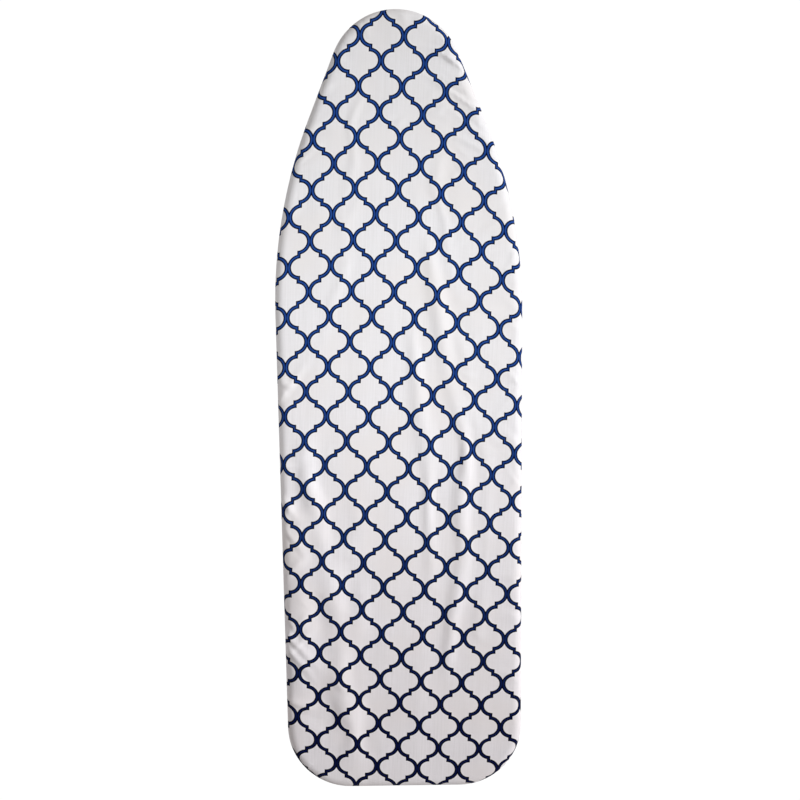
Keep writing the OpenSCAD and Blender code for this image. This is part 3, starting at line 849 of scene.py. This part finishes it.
def add_folds(cover):
    """Lifts the top, and gathers the side and the turned-under cloth, most where the edge bends."""
    points = cover["points"]
    top_count, runs = cover["top_count"], cover["runs"]
    around = len(runs)
    height = lifted(cover)
    slack = smooth(TOP - 9 * MM, TOP - 1 * MM, points[:, 2])        # none where the side begins
    points[:, 2] += height * slack
    rings = points[top_count:].reshape(-1, around, 3)
    edge = edge_at(runs)
    # All the gathers at the nose's tip and the tail's corners, and a third of them along the sides
    bends = 0.35 + 0.65 * (smooth(0.17, 0.05, np.abs(runs))
                           + smooth(HALF_LENGTH - 0.34, HALF_LENGTH - 0.24, np.abs(runs))
                           * smooth(HALF_LENGTH - 0.04, HALF_LENGTH - 0.12, np.abs(runs)))
    phase = runs / GATHER_PITCH * 2 * math.pi + 3.0 * ripple(runs / 0.05 + 30, runs * 0, 21)
    fine = runs / FINE_PITCH * 2 * math.pi + 2.0 * ripple(runs / 0.03 + 30, runs * 0, 23)
    wave = 0.7 * np.sin(phase) + 0.3 * np.sin(fine)
    for ring, (out, z, share) in zip(rings, section()):
        pulled = smooth(TOP - EDGE_DROP, UNDER, z) if share == 0 else 1.0
        side_wave = GATHER_DEPTH * pulled * bends * (wave - 1) * (share == 0)
        ring[:, :2] += edge[:, 2:] * side_wave[:, None]
        turned = (out < -TURN_R * 0.9) * (share > 0)
        ring[:, 2] -= (HEM_DROP + HEM_DROP_MORE * share) * bends * (wave + 1) * 0.5 * turned


def finish_cover(cover):
    """The cover as an object, with its print laid on and the cloth's thickness added inwards."""
    piece = new_object("cover_cloth", cover["points"], cover["faces"])
    lay_flat(piece, *print_place(*cover["pattern"].T))
    fix_normals(piece)
    shell = piece.modifiers.new("thickness", "SOLIDIFY")
    shell.thickness = CLOTH_T
    shell.offset = -1
    apply_modifiers(piece)
    return piece


COVER_ROWS, COVER_COLUMNS = 300, 78

cover = build_cover(COVER_ROWS, COVER_COLUMNS)
add_folds(cover)
cover_cloth = finish_cover(cover)
dress(cover_cloth, "cover_cloth", "board")
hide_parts("cover")


# -------------------- the felt under it

FELT_GAP = 1.3 * MM                     # between the cover's face and the felt's
FELT_WAVES = 0.25 * MM
PAD_ROWS, PAD_COLUMNS = 160, 46
PLATE_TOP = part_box("steam_plate")[1].z


def pad_section():
    """The felt's section beyond its flat top, down to the plate, as distance out from the edge and height."""
    last = math.acos(1 - (TOP - FELT_GAP - PLATE_TOP) / EDGE_DROP)
    points = []
    for k in range(1, ROUND_STEPS + 1):
        a = last * k / ROUND_STEPS
        points.append((-EDGE_ROUND * (1 - math.sin(a)) - FELT_GAP * math.sin(a),
                       TOP - FELT_GAP - EDGE_DROP * (1 - math.cos(a))))
    return points


def build_pad(rows, columns):
    """The felt as a closed solid, from its uneven face down to the plate."""
    grid, loop = top_patch(rows, columns)
    flat = grid.reshape(-1, 2)
    top_z = TOP - FELT_GAP + FELT_WAVES * (ripple(flat[:, 0] / 0.02, flat[:, 1] / 0.02, 51) - 1)
    points = [np.column_stack([flat, top_z])]
    edge = edge_at([run for _, _, run in loop])
    for out, z in pad_section():
        ring = edge[:, :2] + edge[:, 2:] * out
        points.append(np.column_stack([ring, np.full(len(ring), z)]))
    faces = [face[::-1] for face in grid_faces(rows, columns)]
    around = len(loop)
    rim = [r * columns + c for r, c, _ in loop]
    last = rim
    for k in range(len(pad_section())):
        ring = [len(flat) + k * around + i for i in range(around)]
        faces += bridge(last, ring)
        last = ring
    base = sum(len(part) for part in points)
    points.append(np.column_stack([flat, np.full(len(flat), PLATE_TOP)]))
    faces += [tuple(base + v for v in face) for face in grid_faces(rows, columns)]
    faces += bridge(last, [base + v for v in rim])
    piece = new_object("pad_felt", np.concatenate(points), faces)
    fix_normals(piece)
    return piece


pad_felt = build_pad(PAD_ROWS, PAD_COLUMNS)
dress(pad_felt, "felt", "board")
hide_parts("pad")


# -------------------- the drawn hem

BINDING_OUT = -HEM_INSET - 26.5 * MM    # the casing's middle, from the cover's edge
CASING_HALF = 4.0 * MM
CASING_THICK = 1.3 * MM                 # half of its thickness
HEM_Z = UNDER - 0.4 * MM - CASING_THICK
ELASTIC_HALF = 2.9 * MM
ELASTIC_THICK = 0.5 * MM


def hem_ring(name, half_wide, half_thick, gather, pitch, sides, seed):
    """A flattened band that runs round under the board, drawn into gathers of the given depth and pitch."""
    whole = 2 * HALF_LENGTH
    count = int(whole / pitch * 7)
    run = np.linspace(-HALF_LENGTH, HALF_LENGTH, count, endpoint=False)
    edge = edge_at(run)
    turns = round(whole / pitch)
    phase = 2 * math.pi * run / whole * turns + 1.2 * np.sin(2 * math.pi * run / whole * 23 + seed)
    wave = np.sin(phase)
    verts = []
    for k in range(sides):
        a = 2 * math.pi * k / sides
        across, up = math.cos(a), math.sin(a)
        wide = BINDING_OUT + half_wide * across * (1 + 0.10 * wave) + gather * 0.5 * np.cos(phase)
        tall = HEM_Z + half_thick * up * (1 + 0.25 * wave) + gather * wave * (0.35 + 0.65 * abs(across))
        verts.append(np.column_stack([edge[:, :2] + edge[:, 2:] * wide[:, None], tall]))
    points = np.stack(verts, 1).reshape(-1, 3)
    faces = grid_faces(count, sides, closed=True)
    faces += bridge(range((count - 1) * sides, count * sides), range(sides))
    piece = new_object(name, points, faces)
    lay_flat(piece, np.repeat(run, sides), np.tile(np.arange(sides) * 2 * half_wide / sides, count))
    fix_normals(piece)
    return piece


binding_tape = hem_ring("binding_tape", CASING_HALF, CASING_THICK, 0.55 * MM, 0.0062, 14, 2.0)
dress(binding_tape, "binding_tape", "board")
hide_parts("hem_binding")
braided_elastic = hem_ring("braided_elastic", ELASTIC_HALF, ELASTIC_THICK, 0.05 * MM, 0.02, 8, 0.5)
dress(braided_elastic, "elastic", "board")
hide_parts("hem_elastic")


def stitches(name, out, z, pitch, length, radius):
    """A row of short raised threads round the hem."""
    tubes = []
    for middle in np.arange(-HALF_LENGTH + pitch, HALF_LENGTH - pitch, pitch):
        run = middle + length * np.array([-0.5, -0.3, 0.3, 0.5])
        edge = edge_at(run)
        sag = radius * np.array([0.2, 0.9, 0.9, 0.2])
        path = np.column_stack([edge[:, :2] + edge[:, 2:] * out, z - sag])
        tubes.append(sweep(path, radius * np.array([0.5, 1, 1, 0.5]), 6))
    piece = new_object(name, *joined(tubes))
    piece.data.uv_layers.new(name="cloth")
    fix_normals(piece)
    return piece


STITCH_PITCH = 3.4 * MM
STITCH_LENGTH = 2.4 * MM
THREAD_R = 0.28 * MM
hem_stitches = stitches("hem_stitches", BINDING_OUT + CASING_HALF - 0.9 * MM, HEM_Z - CASING_THICK * 0.9,
                        STITCH_PITCH, STITCH_LENGTH, THREAD_R)
dress(hem_stitches, "binding_tape", "board")


# -------------------- rubber feet

CAP_SIDES = 72
CAP_WAIST = 1.6 * MM                    # how far the body lies in from the largest radius, between the rings
LIP_REACH = 2.1 * MM
GRIP_RINGS = 3
FIRST_RING = 7.0 * MM
RING_PITCH = 8.4 * MM
RING_HALF = 2.7 * MM
DOME_R = 5.5 * MM


def foot_cap(node):
    """A moulded rubber cap: a rolled lip, grip rings, a domed end, and flat where it stands."""
    low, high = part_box(node)
    outwards = 1 if high.y > 0 else -1
    outer = high.y if outwards > 0 else -low.y
    length = high.y - low.y
    radius = (high.x - low.x) / 2
    centre = Vector(((low.x + high.x) / 2, 0, high.z - radius))
    neck = radius - 3.3 * MM
    profile = [(0.0, neck), (0.0, radius - 2.3 * MM)]
    for k in range(1, 9):
        a = math.pi * k / 9
        profile.append((LIP_REACH * (1 - math.cos(a)), radius - 2.3 * MM + 1.9 * MM * math.sin(a)))
    profile.append((4.6 * MM, radius - CAP_WAIST))
    for ring in range(GRIP_RINGS):
        start = FIRST_RING + ring * RING_PITCH
        profile.append((start, radius - CAP_WAIST))
        for k in range(9):
            a = math.pi * k / 8
            along = start + 0.8 * MM + RING_HALF * (1 - math.cos(a))
            profile.append((along, radius - 1.5 * MM * (1 - math.sin(a))))
        profile.append((start + 7.0 * MM, radius - CAP_WAIST))
    dome_start = length - DOME_R
    dome_edge = radius - 0.8 * MM
    profile.append((dome_start - 4 * MM, dome_edge))
    for k in range(11):
        a = math.pi / 2 * k / 10
        profile.append((dome_start + DOME_R * math.sin(a), dome_edge - DOME_R * (1 - math.cos(a))))
    profile.append((length - 0.1 * MM, radius * 0.45))      # a shallow dish in the end's middle
    profile.append((length - 1.2 * MM, radius * 0.40))
    profile.append((length - 1.2 * MM, 0.3 * MM))
    verts = []
    for along, r in profile:
        y = (outer - length + along) * outwards
        for k in range(CAP_SIDES):
            a = 2 * math.pi * k / CAP_SIDES
            z = max(centre.z + r * math.sin(a), 0.0)
            verts.append((centre.x + r * math.cos(a), y, z))
    return closed_tube(node.replace("foot_cap", "rubber_foot"), verts, CAP_SIDES)


for node in ("outer_foot_cap_left", "outer_foot_cap_right", "inner_foot_cap_left", "inner_foot_cap_right"):
    cap = foot_cap(node)
    dress(cap, "cap_rubber", "outer_legs" if node.startswith("outer") else "inner_legs")
    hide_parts(node)


# -------------------- weld beads

HINGE_X, _, AXIS_Z = joints["leg_fold"]["pos_m"]
CARRIAGE_X = (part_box("carriage_axle")[0].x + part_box("carriage_axle")[1].x) / 2
OPEN_ANGLE = math.radians(50)
LEG_LENGTH = 1080 * MM
BRACE_AT = 780 * MM
TUBE_R = 11 * MM
BAR_R = 12.5 * MM
BRACE_R = 8 * MM
OUTER_Y = 96 * MM
INNER_Y = 65 * MM
BEAD_R = 1.5 * MM
BEAD_CLEAR = 0.3 * MM                   # how far outside the tube's face the bead's middle runs


def outer_frame():
    """From a leg's own frame, x down its length, to the row frame."""
    return Matrix.Translation((HINGE_X, 0, AXIS_Z)) @ Matrix.Rotation(OPEN_ANGLE, 4, "Y")


def inner_frame():
    """The same for the inner legs, which start at the carriage's axle and run the other way."""
    return Matrix.Translation((CARRIAGE_X, 0, AXIS_Z)) @ Matrix.Rotation(math.pi - OPEN_ANGLE, 4, "Y")


def bead(path, place, seed):
    """A small weld bead along a closed path, with the ripple that each pass leaves."""
    turn = np.linspace(0, 2 * math.pi, len(path), endpoint=False)
    radius = BEAD_R * (1 + 0.16 * np.sin(turn * 22 + seed) + 0.10 * np.sin(turn * 5 + 2 * seed))
    world = [place @ Vector(point) for point in path]
    return sweep([tuple(point) for point in world], radius, 10, closed=True)


def tube_on_bar(y, steps=132):
    """Where a leg's tube meets its foot bar, in the leg's own frame."""
    a = np.linspace(0, 2 * math.pi, steps, endpoint=False)
    ring_r = TUBE_R + BEAD_CLEAR
    side = ring_r * np.sin(a)
    return np.column_stack([LEG_LENGTH - np.sqrt(BAR_R**2 - side**2), y + ring_r * np.cos(a), side])


def brace_on_tube(y, steps=96):
    """Where the brace meets the inner face of a leg's tube."""
    a = np.linspace(0, 2 * math.pi, steps, endpoint=False)
    inwards = -1 if y > 0 else 1
    reach = np.sqrt(TUBE_R**2 - (BRACE_R * np.sin(a))**2)
    return np.column_stack([BRACE_AT + BRACE_R * np.cos(a), y + inwards * reach, BRACE_R * np.sin(a)])


def weld(name, paths, place, body):
    """All of one body's weld beads as one piece."""
    piece = new_object(name, *joined(bead(path, place, 1.7 * k) for k, path in enumerate(paths)))
    fix_normals(piece)
    dress(piece, "leg_paint", body)


weld("outer_leg_welds", [tube_on_bar(OUTER_Y), tube_on_bar(-OUTER_Y)], outer_frame(), "outer_legs")
weld("inner_leg_welds", [tube_on_bar(INNER_Y), tube_on_bar(-INNER_Y), brace_on_tube(INNER_Y),
                         brace_on_tube(-INNER_Y)], inner_frame(), "inner_legs")


# -------------------- the lever's grip and the spring

LEVER_TILT = math.radians(10)
LEVER_PIN = (CARRIAGE_X - 34 * MM, 0, AXIS_Z - 3 * MM)
lever_frame = Matrix.Translation(LEVER_PIN) @ Matrix.Rotation(-LEVER_TILT, 4, "Y")
GRIP_START, GRIP_END = -28 * MM, -80 * MM       # along the lever, from its pin
GRIP_HALF_WIDE = 17 * MM
GRIP_HALF_THICK = 3.5 * MM
FINGER_RIDGES = 5
RIDGE_DEPTH = 0.9 * MM


def build_grip():
    """The soft grip on the lever's tongue: rounded all over, with finger ridges beneath."""
    middle = -4.5 * MM
    steps, sides = 72, 48
    verts = []
    for i in range(steps + 1):
        t = i / steps
        x = GRIP_START + (GRIP_END - GRIP_START) * t
        nose = math.sqrt(max(0.0, 1 - max(0.0, (t - 0.80) / 0.20)**2.4))
        heel = smooth(0.0, 0.05, t) * 0.12 + 0.88
        wide = GRIP_HALF_WIDE * max(nose, 0.30) * heel
        thick = GRIP_HALF_THICK * (0.55 + 0.45 * max(nose, 0.1)) * heel
        wave = 0.5 - 0.5 * math.cos(2 * math.pi * t * FINGER_RIDGES)
        ridge_in = RIDGE_DEPTH * wave * smooth(0.02, 0.14, t)
        for k in range(sides):
            a = 2 * math.pi * k / sides
            c, s = math.cos(a), math.sin(a)
            out = math.copysign(abs(c)**0.55, c) * wide
            up = math.copysign(abs(s)**0.62, s) * thick
            if s < 0:
                up += ridge_in * abs(s)**0.5 * (1 - abs(c)**4)
            verts.append(lever_frame @ Vector((x, out, middle + up)))
    return closed_tube("soft_grip", verts, sides)


soft_grip = build_grip()
dress(soft_grip, "grip_plastic", "release_lever")
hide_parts("lever_grip")


WIRE_R = 0.8 * MM
SPRING_TURNS = 5
STEPS_IN_TURN = 40
CLOSED_SHARE = 0.09                     # of the wire at each end, nearly closed up
CLOSED_CLIMB = 0.72 * MM                # along the rod over each closed end


def build_spring():
    """The lock's coil spring on the guide rod, with its last half turns closed up."""
    low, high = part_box("lock_spring")
    radius = (high.y - low.y) / 2 - WIRE_R
    centre_z = (low.z + high.z) / 2
    span = (high.x - low.x) - 2 * WIRE_R - 2 * CLOSED_CLIMB
    t = np.linspace(0, 1, SPRING_TURNS * STEPS_IN_TURN + 1)
    a = 2 * math.pi * SPRING_TURNS * t
    climb = np.clip((t - CLOSED_SHARE) / (1 - 2 * CLOSED_SHARE), 0, 1)
    ends = (np.minimum(t, CLOSED_SHARE) + np.maximum(0, t - 1 + CLOSED_SHARE)) / CLOSED_SHARE
    x = low.x + WIRE_R + CLOSED_CLIMB * ends + span * climb
    path = np.column_stack([x, radius * np.sin(a), centre_z + radius * np.cos(a)])
    verts, faces = sweep(path, WIRE_R * 0.98, 12)
    piece = new_object("coil_spring", verts, faces)
    fix_normals(piece)
    return piece


coil_spring = build_spring()
dress(coil_spring, "spring_wire", "carriage")
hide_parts("lock_spring")
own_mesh(coil_spring)
